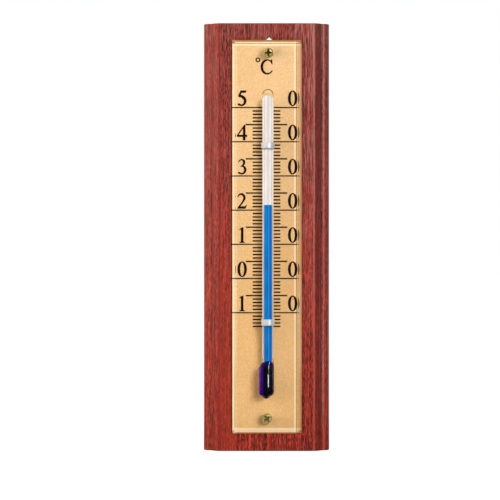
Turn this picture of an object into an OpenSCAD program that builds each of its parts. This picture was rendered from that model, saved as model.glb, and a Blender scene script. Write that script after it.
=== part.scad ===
// Room thermometer: a moulded wooden board, a clear bevelled scale plate and a clipped glass tube.
// The origin is the middle of the board's flat back, X points right, Y into the wall, Z up.

/* [Board] */
// Width of the board
board_w = 36.8; // [34:0.1:60]
// Height of the board
board_h = 125; // [115:1:200]
// Thickness of the board
board_t = 9; // [8:0.5:16]
// Drop beside the flat front, where the roll begins
quirk_h = 0.36; // [0.34:0.02:0.6]
// Width of the roll along each long side
roll_w = 1.8; // [1.2:0.05:2.4]
// Radius of the roll's curve
roll_r = 4.2; // [3.6:0.1:8]
// Slope at which the roll begins, in degrees
roll_slope = 18; // [5:1:22]
// Width of the steep step between the roll and the bead
step_w = 0.35; // [0.2:0.05:0.6]
// Distance from the flat front back to the top of the bead
bead_depth = 2.35; // [2.3:0.05:3]
// Radius of the bead along each long side
bead_r = 2.4; // [1:0.05:2.6]
// Rounding of the edges of the flat front
arris_r = 0.25; // [0.1:0.05:0.25]
// Rounding of the board's other edges
edge_r = 0.3; // [0.1:0.05:0.8]

/* [Hanging hole] */
// Sideways place of the hanging hole
hang_x = 0.78; // [-2:0.01:2]
// Distance of the nail recess from the board's top end
hang_drop = 5.25; // [4:0.05:5.6]
// Radius of the nail recess in the back
nail_r = 2.1; // [1.2:0.05:2.2]
// Wood left in front of the nail recess
skin_t = 2; // [1:0.1:3]
// Radius of the teardrop hole through that wood
tear_r = 1.2; // [0.8:0.05:1.3]
// Half angle of the teardrop's point, in degrees
tear_angle = 49; // [40:1:60]

/* [Scale plate] */
// Width of the plate
plate_w = 20.2; // [19:0.1:26]
// Sideways place of the plate's middle
plate_x = 0.14; // [-1:0.01:1]
// Wood seen above the plate
plate_top_gap = 5.02; // [3:0.01:8]
// Wood seen below the plate
plate_bottom_gap = 5.31; // [3:0.01:8]
// Thickness of the clear plate
plate_t = 2; // [1.6:0.1:3]
// Width of the bevel round the plate's front
bevel_w = 1; // [0.6:0.05:1.2]
// Height of the plate's upright edge below the bevel
edge_h = 0.8; // [0.4:0.05:1.2]
// Rounding of the plate's four corners
corner_r = 0.3; // [0.1:0.05:0.5]
// Thickness of the gold foil behind the plate
foil_t = 0.08; // [0.05:0.01:0.2]
// Distance from the plate's edge to the foil's edge
foil_in = 0.05; // [0.02:0.01:0.2]

/* [Printed scale] */
// Highest degree on the scale
t_max = 50; // [40:10:60]
// Lowest degree on the scale
t_min = -14; // [-19:1:-10]
// Degree at which the spirit stands
t_now = 21.5; // [0:0.5:35]
// Distance from the plate's top end to the highest line
head_room = 19.72; // [18:0.01:25]
// Distance from the plate's bottom end to the lowest line
foot_room = 31.12; // [30:0.01:36]
// Thickness of the ink
ink_t = 0.03; // [0.02:0.01:0.1]
// Thickness of a line for one or five degrees
line_w = 0.38; // [0.2:0.01:0.5]
// Thickness of a line for ten degrees
long_line_w = 0.3; // [0.2:0.01:0.5]
// Reach of a line for one degree from the middle of the board
short_reach = 4.05; // [3.5:0.05:5]
// Reach of a line for five degrees from the middle of the board
middle_reach = 6.05; // [5.2:0.05:7]
// Distance from the plate's left edge to the lines for ten degrees
long_in_left = 0.45; // [0.2:0.05:1.5]
// Distance from the plate's right edge to the lines for ten degrees
long_in_right = 1.25; // [0.2:0.05:1.5]
// Height of a figure
figure_h = 4.5; // [3:0.1:5]
// Distance from a line up to the foot of its figure
figure_gap = 0.33; // [0.2:0.01:0.8]
// Distance from the plate's left edge to the middle of the left figures
figure_in_left = 2.85; // [2.3:0.01:3.5]
// Distance from the plate's right edge to the middle of the right figures
figure_in_right = 2.6; // [1.7:0.01:3.5]
// Distance from the plate's middle to the middle of the unit sign
unit_left = 0.14; // [-1:0.01:1]
// Distance from the highest line up to the foot of the unit sign
unit_rise = 9.6; // [7:0.05:10.5]
// Outer radius of the degree ring
ring_r = 0.67; // [0.4:0.01:1]
// Stroke of the degree ring
ring_w = 0.28; // [0.1:0.01:0.35]
// Distance from the unit sign's middle to the middle of its ring
ring_left = 2.5; // [2.3:0.05:3.5]
// Height of the ring's middle above the foot of the unit sign
ring_up = 4.32; // [3.5:0.02:4.7]

/* [Glass tube] */
// Sideways place of the stem
stem_x = 0.42; // [-1:0.01:1]
// Radius of the stem
stem_r = 1.67; // [1.5:0.005:1.9]
// Distance from the highest line to the top of the stem
stem_over = 5.2; // [4:0.05:6]
// Solid glass at the top of the stem
cap_t = 1.9; // [1.2:0.1:3]
// Radius of the bulb
bulb_r = 2.27; // [2.2:0.01:2.6]
// Shift of the bulb to the left of the stem
bulb_shift = 0.45; // [0:0.01:0.45]
// Distance from the lowest line to the bulb's tip
bulb_drop = 20.85; // [20:0.01:23]
// Height of the bulb's straight wall
bulb_wall_h = 6.7; // [5:0.1:7]
// Height of the shoulder from the straight wall up to the stem
shoulder_h = 2.9; // [2.5:0.1:3.2]
// Thickness of the bulb's wall
bulb_wall = 0.35; // [0.2:0.05:0.5]
// Gap between the bulb and the plate
bulb_gap = 0.05; // [0.03:0.01:0.5]
// Width of the flat capillary bore
bore_w = 1.5; // [1:0.05:1.5]
// Thickness of the flat capillary bore
bore_t = 0.2; // [0.12:0.02:0.3]
// Width of the white enamel band
enamel_w = 2.6; // [1.8:0.05:2.6]
// Thickness of the white enamel band
enamel_t = 0.2; // [0.1:0.05:0.4]
// Glass between the bore and the enamel band
enamel_gap = 0.1; // [0.05:0.05:0.2]

/* [Spirit] */
// Gap left around the spirit inside the glass
spirit_gap = 0.02; // [0.01:0.005:0.04]
// Length of the spirit's moving top end
top_end_l = 2; // [1:0.1:3]

/* [Tube clips] */
// Thickness of the clip strip
strip_t = 0.22; // [0.15:0.01:0.25]
// Gap between the stem and the clips
clip_gap = 0.02; // [0.02:0.01:0.12]
// Width of the upper strip
upper_strip_w = 1.5; // [1:0.05:2.5]
// Width of the lower strip
lower_strip_w = 1.8; // [1:0.05:2.5]
// Distance from the highest line down to the upper clip
upper_clip_drop = 11.2; // [6:0.1:20]
// Distance from the lowest line up to the lower clip
lower_clip_rise = 1.35; // [0:0.05:4]
// Length of a tab folded behind the foil
tab_l = 1.6; // [1:0.1:2]
// Gap around a strip in its slot, and around its tabs in the wood
slot_gap = 0.05; // [0.03:0.01:0.15]

/* [Screws] */
// Radius of a screw head
head_r = 1.52; // [1.3:0.01:1.8]
// Height of a screw head
head_h = 1.25; // [1:0.05:1.6]
// Rounding of a screw head
head_round = 0.7; // [0.3:0.05:0.9]
// Radius over the threads
thread_r = 0.9; // [0.7:0.05:1]
// Radius of the core under the threads
core_r = 0.62; // [0.45:0.01:0.65]
// Distance from one thread to the next
thread_pitch = 0.8; // [0.6:0.05:1]
// Length under the head
shank_l = 7; // [5:0.1:8]
// Gap around a screw in the plate
plate_hole_gap = 0.1; // [0.05:0.05:0.3]
// Sideways place of the top screw
top_screw_x = 0.52; // [-1.5:0.01:1.5]
// Distance from the plate's top end to the top screw
top_screw_drop = 3.91; // [3.3:0.01:4.5]
// Turn of the top screw's cross, in degrees
top_screw_turn = 5; // [0:1:89]
// Sideways place of the bottom screw
bottom_screw_x = 0.15; // [-1.5:0.01:1.5]
// Distance from the plate's bottom end to the bottom screw
bottom_screw_rise = 4.43; // [3.3:0.01:6]
// Turn of the bottom screw's cross, in degrees
bottom_screw_turn = 38; // [0:1:89]
// Width of the arms of the cross recess
cross_w = 0.42; // [0.3:0.01:0.5]
// Reach of the cross recess from its middle
cross_r = 1; // [0.8:0.05:1.1]
// Depth of the cross recess
cross_depth = 0.75; // [0.5:0.05:0.9]

/* [Hidden] */
$fn = 64;
over = 1;              // how far a cut runs past the face that it leaves
turn_steps = 40;       // points round a figure's closed curve
brush_steps = 5;       // points between two knots of a pen stroke

roll_mid = [-roll_r * sin(roll_slope), quirk_h + roll_r * cos(roll_slope)];
roll_end = [roll_w, roll_mid.y - sqrt(pow(roll_r, 2) - pow(roll_w - roll_mid.x, 2))];
bead_top = [roll_w + step_w, bead_depth];
moulding_w = bead_top.x + bead_r;
flat_w = board_w - 2 * moulding_w;
hang_z = board_h / 2 - hang_drop;
tear_rise = tear_r / sin(tear_angle);
tear_drop = 0.38;      // the teardrop's round part sits this far below the recess's middle

plate_top = board_h / 2 - plate_top_gap;
plate_bottom = -board_h / 2 + plate_bottom_gap;
plate_h = plate_top - plate_bottom;
plate_z = (plate_top + plate_bottom) / 2;
plate_left = plate_x - plate_w / 2;
plate_right = plate_x + plate_w / 2;
plate_back = foil_t + ink_t;
plate_front = plate_back + plate_t;

top_line = plate_top - head_room;
bottom_line = plate_bottom + foot_room;
degree = (top_line - bottom_line) / (t_max - t_min);
level = bottom_line + (t_now - t_min) * degree;
under_left = 0.35;     // lines run this far under the stem's left side
under_right = 0.08;    // and this far under its right side
left_line_end = stem_x - stem_r + under_left;
right_line_end = stem_x + stem_r - under_right;

tube_axis = plate_front + bulb_r + bulb_gap;
tube_y = -board_t - tube_axis;
bulb_x = stem_x - bulb_shift;
stem_top = top_line + stem_over;
tip_z = bottom_line - bulb_drop;
tip_r = 0.6;           // rounding of the bulb's pointed end
lower_round = 1;       // rounding where that end meets the straight wall
upper_round = 0.7;     // rounding where the wall meets the shoulder
tip_slope = 43;        // degrees that the bulb's pointed end rises above level
lower_z = tip_z + tip_r + (bulb_r - lower_round) * tan(tip_slope)
          + (lower_round - tip_r) / cos(tip_slope);
upper_z = lower_z + bulb_wall_h;
neck_r = 1;            // the shoulder's cone comes down to this radius inside the stem
neck_z = upper_z + shoulder_h;
neck_floor = 1.35;     // the bulb's hollow ends this far below its neck, and the bore begins
enamel_start = 0.25;   // the enamel band begins this far below the neck
enamel_over = 0.4;     // and ends this far above the bore
chamber_top = neck_z - neck_floor;
bore_top = stem_top - cap_t - enamel_over;
enamel_bottom = neck_z - enamel_start;
enamel_top = stem_top - cap_t;

strip_in = stem_r + clip_gap;
strip_out = strip_in + strip_t;
upper_clip_z = top_line - upper_clip_drop;
lower_clip_z = bottom_line + lower_clip_rise;

top_screw_z = plate_top - top_screw_drop;
bottom_screw_z = plate_bottom + bottom_screw_rise;
pilot_room = 0.3;      // a pilot hole is this much deeper than its screw
pilot_depth = shank_l - plate_front + pilot_room;

// The point where a line from p touches a circle, on the line's left side.
function touch(p, c, r) =
    let (d = c - p, a = atan2(d.y, d.x) + asin(r / norm(d)))
    c + r * [-sin(a), cos(a)];

// Unit vector to the left of the line from a to b.
function left_of(a, b) = let (d = (b - a) / norm(b - a)) [-d.y, d.x];

// One point of a smooth curve through the knots, t of the way from knot i to the next.
function knot(k, i) = k[max(0, min(len(k) - 1, i))];
function on_curve(k, i, t) =
    let (a = knot(k, i - 1), b = knot(k, i), c = knot(k, i + 1), d = knot(k, i + 2))
    0.5 * (2 * b + (c - a) * t + (2 * a - 5 * b + 4 * c - d) * t * t
           + (3 * b - a - 3 * c + d) * t * t * t);
function curve(k) =
    [for (i = [0 : len(k) - 2], s = [0 : brush_steps - 1]) on_curve(k, i, s / brush_steps),
     k[len(k) - 1]];

// Places what is drawn flat, with Y up the board and Z out of its front.
module on_front() {
    translate([0, -board_t, 0]) rotate([90, 0, 0]) children();
}

// Runs a cross section along the plate's height, or along its width.
module run_up(l) {
    rotate([90, 0, 0]) linear_extrude(l, center = true) children();
}
module run_across(l) {
    rotate([90, 0, 90]) linear_extrude(l, center = true) children();
}

module round_rect(w, h, r) {
    square([w - 2 * r, h], center = true);
    square([w, h - 2 * r], center = true);
    for (x = [-1, 1], y = [-1, 1]) translate([x * (w / 2 - r), y * (h / 2 - r)]) circle(r);
}

// What is cut from the board's right front edge: x from the flat's edge, y from the front down.
module moulding_cut() {
    difference() {
        translate([-arris_r, -over]) square([arris_r, over + arris_r]);
        translate([-arris_r, arris_r]) circle(arris_r);
    }
    difference() {
        translate([0, -over]) square([roll_w, over + roll_mid.y]);
        translate(roll_mid) circle(roll_r);
    }
    polygon([[roll_w, -over], roll_end, bead_top, [bead_top.x, -over]]);
    difference() {
        translate([bead_top.x, -over]) square([bead_r + over, over + bead_depth + bead_r]);
        translate(bead_top + [0, bead_r]) circle(bead_r);
    }
}

module teardrop() {
    circle(tear_r);
    polygon([[-tear_r * cos(tear_angle), tear_r * sin(tear_angle)], [0, tear_rise],
             [tear_r * cos(tear_angle), tear_r * sin(tear_angle)], [0, 0]]);
}

// Shallow pockets in the wood for the folded tabs of one clip.
module tab_pockets(z, w) {
    l = strip_t + tab_l + 2 * slot_gap;
    for (s = [-1, 1]) translate([stem_x + s * (strip_in - slot_gap + l / 2), z, 0])
        cube([l, w + 2 * slot_gap, 2 * (strip_t + slot_gap)], center = true);
}

module back_board() {
    color("#8b3a30") difference() {
        intersection() {
            linear_extrude(board_h, center = true) difference() {
                translate([-board_w / 2, -board_t]) square([board_w, board_t]);
                for (s = [0, 1]) mirror([s, 0])
                    translate([flat_w / 2, -board_t]) moulding_cut();
            }
            translate([0, -board_t / 2, 0]) run_across(board_w + over)
                round_rect(board_t, board_h, edge_r);
            translate([0, -board_t / 2, 0]) run_up(board_t + over)
                round_rect(board_w, board_h, edge_r);
            translate([0, -board_t / 2, 0])
                linear_extrude(board_h + over, center = true)
                round_rect(board_w, board_t, edge_r);
        }
        translate([hang_x, over, hang_z]) rotate([90, 0, 0])
            cylinder(h = board_t - skin_t + over, r = nail_r);
        translate([hang_x, over, hang_z - tear_drop]) rotate([90, 0, 0])
            linear_extrude(board_t + 2 * over) teardrop();
        on_front() {
            translate([top_screw_x, top_screw_z, -pilot_depth])
                cylinder(h = pilot_depth + over, r = core_r);
            translate([bottom_screw_x, bottom_screw_z, -pilot_depth])
                cylinder(h = pilot_depth + over, r = core_r);
            tab_pockets(upper_clip_z, upper_strip_w);
            tab_pockets(lower_clip_z, lower_strip_w);
        }
    }
}

// A cross section of the plate, bevelled at both ends, with its back at y = 0.
module bevelled(size) {
    end = size / 2;
    polygon([[-end, 0], [-end, edge_h], [bevel_w - end, plate_t], [end - bevel_w, plate_t],
             [end, edge_h], [end, 0]]);
}

module clip_slots(z, w, l) {
    for (s = [-1, 1]) translate([stem_x + s * (strip_in + strip_t / 2), z, 0])
        cube([strip_t + 2 * slot_gap, w + 2 * slot_gap, l], center = true);
}

// What passes through the plate and the foil: both screws and the legs of both clips.
module plate_cuts() {
    l = 2 * (plate_front + over);
    translate([top_screw_x, top_screw_z, 0])
        cylinder(h = l, r = thread_r + plate_hole_gap, center = true);
    translate([bottom_screw_x, bottom_screw_z, 0])
        cylinder(h = l, r = thread_r + plate_hole_gap, center = true);
    clip_slots(upper_clip_z, upper_strip_w, l);
    clip_slots(lower_clip_z, lower_strip_w, l);
}

module gold_foil() {
    color("#e9bd84") on_front() difference() {
        translate([plate_x, plate_z, 0]) linear_extrude(foil_t)
            round_rect(plate_w - 2 * foil_in, plate_h - 2 * foil_in, corner_r);
        plate_cuts();
    }
}

module scale_plate() {
    color("#eef2f2", 0.3) on_front() difference() {
        translate([plate_x, plate_z, plate_back]) intersection() {
            run_up(plate_h) bevelled(plate_w);
            run_across(plate_w) bevelled(plate_h);
            linear_extrude(plate_t) round_rect(plate_w, plate_h, corner_r);
        }
        plate_cuts();
    }
}

// A pen stroke through knots of [x, y, width].
module brush(knots) {
    c = curve(knots);
    n = len(c) - 1;
    side = [for (i = [0 : n])
        let (a = c[max(0, i - 1)], b = c[min(n, i + 1)])
        c[i].z / 2 * left_of([a.x, a.y], [b.x, b.y])];
    polygon(concat([for (i = [0 : n]) [c[i].x, c[i].y] + side[i]],
                   [for (i = [n : -1 : 0]) [c[i].x, c[i].y] - side[i]]));
}

module oval(w, h) {
    polygon([for (i = [0 : turn_steps - 1]) let (a = i * 360 / turn_steps)
        [w / 2 * cos(a), h / 2 * sin(a)]]);
}

// The figures are drawn one unit high, their foot at 0 and their middle at x = 0.
module figure(n) {
    if (n == 0) translate([0, 0.5]) difference() {
        oval(0.6, 1);
        oval(0.27, 0.89);
    }
    if (n == 1) translate([-0.17, 0])
        polygon([[0, 0], [0.345, 0], [0.345, 0.035], [0.27, 0.06], [0.245, 0.12], [0.245, 1],
                 [0.21, 1], [0, 0.89], [0, 0.85], [0.085, 0.87], [0.1, 0.83], [0.1, 0.12],
                 [0.075, 0.06], [0, 0.035]]);
    if (n == 2) translate([-0.3, 0]) {
        brush([[0.01, 0.74, 0.03], [0.09, 0.87, 0.06], [0.23, 0.94, 0.1], [0.37, 0.885, 0.13],
               [0.45, 0.72, 0.14], [0.395, 0.53, 0.11], [0.23, 0.28, 0.08], [0.06, 0.06, 0.08]]);
        polygon([[0, 0], [0.505, 0], [0.605, 0.235], [0.565, 0.235], [0.5, 0.165], [0.43, 0.14],
                 [0.14, 0.14], [0, 0.035]]);
    }
    if (n == 3) translate([-0.27, 0]) {
        brush([[0.03, 0.79, 0.03], [0.13, 0.915, 0.06], [0.27, 0.95, 0.09], [0.385, 0.86, 0.125],
               [0.395, 0.72, 0.12], [0.31, 0.59, 0.08], [0.18, 0.51, 0.03]]);
        brush([[0.18, 0.515, 0.03], [0.32, 0.53, 0.08], [0.44, 0.42, 0.13], [0.47, 0.26, 0.13],
               [0.39, 0.1, 0.11], [0.25, 0.045, 0.08], [0.09, 0.1, 0.09]]);
        translate([0.065, 0.105]) circle(0.055);
    }
    if (n == 4) translate([-0.33, 0]) difference() {
        polygon([[0.39, 0], [0.535, 0], [0.535, 0.22], [0.655, 0.22], [0.655, 0.34],
                 [0.535, 0.34], [0.535, 1], [0.47, 1], [0, 0.32], [0, 0.22], [0.39, 0.22]]);
        polygon([[0.09, 0.34], [0.39, 0.34], [0.39, 0.77]]);
    }
    if (n == 5) translate([-0.28, 0]) {
        polygon([[0.18, 1], [0.57, 1], [0.505, 0.86], [0.24, 0.86], [0.18, 0.7], [0.05, 0.6],
                 [0.03, 0.64]]);
        brush([[0.05, 0.615, 0.05], [0.19, 0.64, 0.14], [0.34, 0.57, 0.17], [0.45, 0.44, 0.165],
               [0.475, 0.29, 0.15], [0.41, 0.13, 0.12], [0.27, 0.05, 0.1], [0.09, 0.09, 0.1]]);
        translate([0.07, 0.1]) circle(0.07);
    }
}

module unit_sign() {
    translate([-0.39, 0]) {
        brush([[0.67, 0.87, 0.06], [0.56, 0.94, 0.06], [0.43, 0.955, 0.075], [0.26, 0.885, 0.11],
               [0.13, 0.72, 0.14], [0.09, 0.5, 0.145], [0.13, 0.29, 0.14], [0.25, 0.135, 0.12],
               [0.43, 0.06, 0.09], [0.6, 0.1, 0.075], [0.71, 0.195, 0.06], [0.77, 0.27, 0.03]]);
        polygon([[0.63, 0.9], [0.72, 0.99], [0.75, 0.985], [0.77, 0.68], [0.73, 0.68],
                 [0.66, 0.84]]);
    }
}

module ink() {
    linear_extrude(ink_t) children();
}

module figure_at(n, x, z) {
    translate([x, z + long_line_w / 2 + figure_gap]) scale(figure_h) figure(n);
}

module scale_line(t) {
    whole_ten = t % 10 == 0;
    reach = t % 5 == 0 ? middle_reach : short_reach;
    reach_left = whole_ten ? long_in_left - plate_left : reach;
    reach_right = whole_ten ? plate_right - long_in_right : reach;
    w = whole_ten ? long_line_w : line_w;
    z = bottom_line + (t - t_min) * degree - w / 2;
    translate([-reach_left, z]) square([left_line_end + reach_left, w]);
    translate([right_line_end, z]) square([reach_right - right_line_end, w]);
}

module scale_markings() {
    color("#2a140a") on_front() translate([0, 0, foil_t]) ink() {
        for (t = [t_min : t_max]) scale_line(t);
        for (t = [ceil(t_min / 10) * 10 : 10 : t_max]) {
            z = bottom_line + (t - t_min) * degree;
            figure_at(abs(t) / 10, plate_left + figure_in_left, z);
            figure_at(0, plate_right - figure_in_right, z);
        }
        translate([plate_x - unit_left, top_line + unit_rise]) {
            scale(figure_h) unit_sign();
            translate([-ring_left, ring_up]) difference() {
                circle(ring_r);
                circle(ring_r - ring_w);
            }
        }
    }
}

// Half section of the bulb, or of its hollow when drawn inset; top is where it is cut off.
module bulb_section(inset, top) {
    tip = [0, tip_z + tip_r];
    lower = [bulb_r - lower_round, lower_z];
    upper = [bulb_r - upper_round, upper_z];
    neck = [neck_r, neck_z];
    out = (touch(neck, upper, upper_round) - upper) / upper_round;
    down = [sin(tip_slope), -cos(tip_slope)];
    intersection() {
        union() {
            polygon([tip, tip + (tip_r - inset) * down, lower + (lower_round - inset) * down,
                     lower, [bulb_r - inset, lower_z], [bulb_r - inset, upper_z], upper,
                     upper + (upper_round - inset) * out, neck - inset * out, [0, neck_z]]);
            translate(tip) circle(tip_r - inset);
            translate(lower) circle(lower_round - inset);
            translate(upper) circle(upper_round - inset);
        }
        translate([0, tip_z - over]) square([bulb_r + over, top - tip_z + over]);
    }
}

// The flat bore with round ends, or the spirit in it when drawn with a gap.
module bore_section(gap) {
    r = bore_t / 2 - gap;
    square([bore_w - bore_t, 2 * r], center = true);
    for (s = [-1, 1]) translate([s * (bore_w - bore_t) / 2, 0]) circle(r);
}

module at_stem(z) {
    translate([stem_x, tube_y, z]) children();
}

module enamel_band() {
    back = bore_t / 2 + enamel_gap;
    translate([stem_x - enamel_w / 2, tube_y + back, enamel_bottom])
        cube([enamel_w, enamel_t, enamel_top - enamel_bottom]);
}

module glass_tube() {
    color("#dfe8ea", 0.35) difference() {
        union() {
            at_stem(upper_z) cylinder(h = stem_top - stem_r - upper_z, r = stem_r);
            at_stem(stem_top - stem_r) sphere(stem_r);
            translate([bulb_x, tube_y, 0]) rotate_extrude() bulb_section(0, neck_z + over);
        }
        at_stem(chamber_top - over)
            linear_extrude(bore_top - chamber_top + over) bore_section(0);
        translate([bulb_x, tube_y, 0]) rotate_extrude() bulb_section(bulb_wall, chamber_top);
        enamel_band();
    }
}

module enamel_strip() {
    color("#f4f1ec") enamel_band();
}

module spirit_reservoir() {
    color("#241050") translate([bulb_x, tube_y, 0])
        rotate_extrude() bulb_section(bulb_wall + spirit_gap, chamber_top);
}

module spirit_thread() {
    color("#1f7fd0") at_stem(chamber_top)
        linear_extrude(level - top_end_l - chamber_top) bore_section(spirit_gap);
}

module spirit_top() {
    color("#1f7fd0") at_stem(level - top_end_l)
        linear_extrude(top_end_l) bore_section(spirit_gap);
}

// A strip over the stem, down through two slots, with its tabs folded out behind the foil.
module tube_clip(z, w) {
    color("#d8d8d6") on_front() translate([stem_x, z, 0]) run_up(w) {
        intersection() {
            translate([0, tube_axis]) difference() {
                circle(strip_out);
                circle(strip_in);
            }
            translate([-strip_out, tube_axis]) square([2 * strip_out, strip_out]);
        }
        for (s = [0, 1]) mirror([s, 0]) {
            translate([strip_in, 0]) square([strip_t, tube_axis]);
            translate([strip_out, -strip_t]) square([tab_l, strip_t]);
            intersection() {
                translate([strip_out, 0]) circle(strip_t);
                translate([strip_in, -strip_t]) square([strip_t, strip_t]);
            }
        }
    }
}

module tube_clip_upper() { tube_clip(upper_clip_z, upper_strip_w); }
module tube_clip_lower() { tube_clip(lower_clip_z, lower_strip_w); }

// A round-headed wood screw standing on the plate, with a cross recess in its head.
module plate_screw(x, z, turn) {
    tip_l = 1.2;
    turns = floor((shank_l - tip_l - plate_t) / thread_pitch);
    color("#a58a3e") on_front() translate([x, z, plate_front]) {
        difference() {
            union() {
                cylinder(h = head_h - head_round, r = head_r);
                cylinder(h = head_h, r = head_r - head_round);
                rotate_extrude() intersection() {
                    translate([head_r - head_round, head_h - head_round]) circle(head_round);
                    square([head_r, head_h]);
                }
            }
            rotate([0, 0, turn]) intersection() {
                union() for (a = [0, 90]) rotate([0, 0, a])
                    translate([0, 0, head_h])
                    cube([2 * cross_r, cross_w, 2 * cross_depth], center = true);
                translate([0, 0, head_h - cross_depth])
                    cylinder(h = cross_depth + over, r1 = cross_w,
                             r2 = cross_w + (cross_r - cross_w) * (cross_depth + over) / cross_depth);
            }
        }
        translate([0, 0, -shank_l]) rotate_extrude() polygon(concat(
            [[0, shank_l], [0, 0], [core_r, tip_l]],
            [for (i = [0 : turns - 1], p = [[0.4, thread_r], [0.8, core_r], [1, core_r]])
                [p[1], tip_l + (i + p[0]) * thread_pitch]],
            [[core_r, shank_l]]));
    }
}

module plate_screw_top() { plate_screw(top_screw_x, top_screw_z, top_screw_turn); }
module plate_screw_bottom() { plate_screw(bottom_screw_x, bottom_screw_z, bottom_screw_turn); }

back_board();
gold_foil();
scale_plate();
scale_markings();
glass_tube();
enamel_strip();
spirit_reservoir();
spirit_thread();
spirit_top();
tube_clip_upper();
tube_clip_lower();
plate_screw_top();
plate_screw_bottom();
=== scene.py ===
# Room thermometer: a stained, moulded board, a clear bevelled plate over gold foil with the scale
# printed on its back, and a spirit-filled glass tube.
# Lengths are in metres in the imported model's frame: X right, Y into the wall, Z up.

import math

import bmesh
import bpy
from mathutils import Matrix, Vector


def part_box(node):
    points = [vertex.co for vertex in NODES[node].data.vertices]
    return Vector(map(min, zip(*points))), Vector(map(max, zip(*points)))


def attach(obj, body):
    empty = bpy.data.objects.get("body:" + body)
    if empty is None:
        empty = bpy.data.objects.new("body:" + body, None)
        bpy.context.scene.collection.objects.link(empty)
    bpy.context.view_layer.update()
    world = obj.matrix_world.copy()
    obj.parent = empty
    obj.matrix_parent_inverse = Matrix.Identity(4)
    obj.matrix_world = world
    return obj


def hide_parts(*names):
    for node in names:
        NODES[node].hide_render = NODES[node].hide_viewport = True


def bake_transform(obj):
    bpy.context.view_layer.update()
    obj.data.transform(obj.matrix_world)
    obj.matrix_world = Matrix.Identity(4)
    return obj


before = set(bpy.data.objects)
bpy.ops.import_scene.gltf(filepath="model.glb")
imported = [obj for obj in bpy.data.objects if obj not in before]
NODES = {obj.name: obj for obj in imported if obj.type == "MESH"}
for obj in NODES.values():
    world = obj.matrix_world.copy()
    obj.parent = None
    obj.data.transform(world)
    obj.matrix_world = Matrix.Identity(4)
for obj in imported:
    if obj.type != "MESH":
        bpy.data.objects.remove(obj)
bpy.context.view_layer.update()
MM = 0.001
WARM = (1.0, 0.86, 0.70)       # light that comes back from a warm room
ROOM_LIGHT = 1.06              # how bright that room is where it lights the object
FLOOR_GLOW = 1.06              # how bright the floor is where it is the background

# The photograph's frame: the camera looks straight at the board's front.
VIEW_WIDTH = 146 * MM          # what the picture takes in, at the board's front
CAMERA_DISTANCE = 650 * MM     # from the board's front
SENSOR = 36.0
SHIFT_RIGHT = -0.033           # the object stands a little right of the picture's middle
SHIFT_UP = -0.0258             # and a little above it

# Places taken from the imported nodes.
BOARD_LOW, BOARD_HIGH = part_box("back_board")
PLATE_LOW, PLATE_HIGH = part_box("scale_plate")
TUBE_LOW, TUBE_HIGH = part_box("glass_tube")
ENAMEL_LOW, ENAMEL_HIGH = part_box("enamel_strip")
THREAD_LOW, THREAD_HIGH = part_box("spirit_thread")
POOL_LOW, POOL_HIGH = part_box("spirit_reservoir")
INK_LOW, INK_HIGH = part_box("scale_markings")
FRONT_Y = BOARD_LOW.y
FIELD_Y = INK_HIGH.y           # where the ink meets the foil
LEVEL_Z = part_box("spirit_top")[1].z

# Glass tube
STEM_R = 1.67 * MM
STEM_X = (ENAMEL_LOW.x + ENAMEL_HIGH.x) / 2
TUBE_Y = (THREAD_LOW.y + THREAD_HIGH.y) / 2
BULB_X = (TUBE_LOW.x + TUBE_HIGH.x) / 2
BULB_R = (TUBE_HIGH.x - TUBE_LOW.x) / 2
TIP_R = 1.1 * MM               # rounding of the bulb's pointed end
TIP_SLOPE = math.radians(38)   # rise of that end above level
LOWER_ROUND = 1.3 * MM         # rounding where that end meets the straight wall
UPPER_ROUND = 0.7 * MM         # rounding where the wall meets the shoulder
NECK_ROUND = 0.5 * MM          # rounding where the shoulder meets the stem
SHOULDER_Z = TUBE_LOW.z + 10.8 * MM
BULB_TOP_Z = TUBE_LOW.z + 8.85 * MM
BULB_WALL = 0.35 * MM
TUBE_SIDES = 96
DOME_STEPS = 16
BORE_W = 1.5 * MM
BORE_T = 0.2 * MM
BORE_TOP = ENAMEL_HIGH.z - 0.4 * MM
BAND_SHARE = 0.86              # how much of its node's width the enamel band takes
BAND_ROUND = 0.8               # rise of its rounded top, as a share of half its width

# Spirit
WETTING = 0.01 * MM            # it reaches this far into the glass, so that no air shows between
NECK_FILL = 0.9 * MM           # the bulb's spirit goes on this far above its node
NECK_W = 0.8 * BORE_W          # width of its top there
THREAD_ROOT = 3.6 * MM         # the thread starts this far below the bulb's spirit's top
THREAD_ROWS = 60
LEVEL_DIP = 0.05 * MM          # hollow of the thread's top

# Board's front, in millimetres from its middle
ARRIS_X = 13.8                 # to the flat front's edges
BEAD_X = 16.75                 # to the crest of the outer bead

# Printed scale
DEGREES = 64                   # lines run over this many degrees
SCALE_RISE = 63.83 * MM        # from the lowest line to the highest
LOWEST_DEGREE = -14
LINE_W = 0.43 * MM
LONG_LINE_W = 0.36 * MM
SHORT_REACH = 4.05 * MM        # where a degree's line ends, from the board's middle
MIDDLE_REACH = 6.05 * MM       # where a fifth degree's line ends
UNDER_LEFT = 0.35 * MM         # how far lines run under the stem, on its left
UNDER_RIGHT = 0.08 * MM        # and on its right
INK_SPREAD = 0.05 * MM         # printed figures grow by this much all round
LINE_LIMIT = 0.6 * MM          # printed forms less high than this are lines

# Screws: how far each head is turned, and how dark its cross is painted, as shade in the recess
SCREWS = {"plate_screw_top": (5, 1), "plate_screw_bottom": (38, 0.5)}


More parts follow.
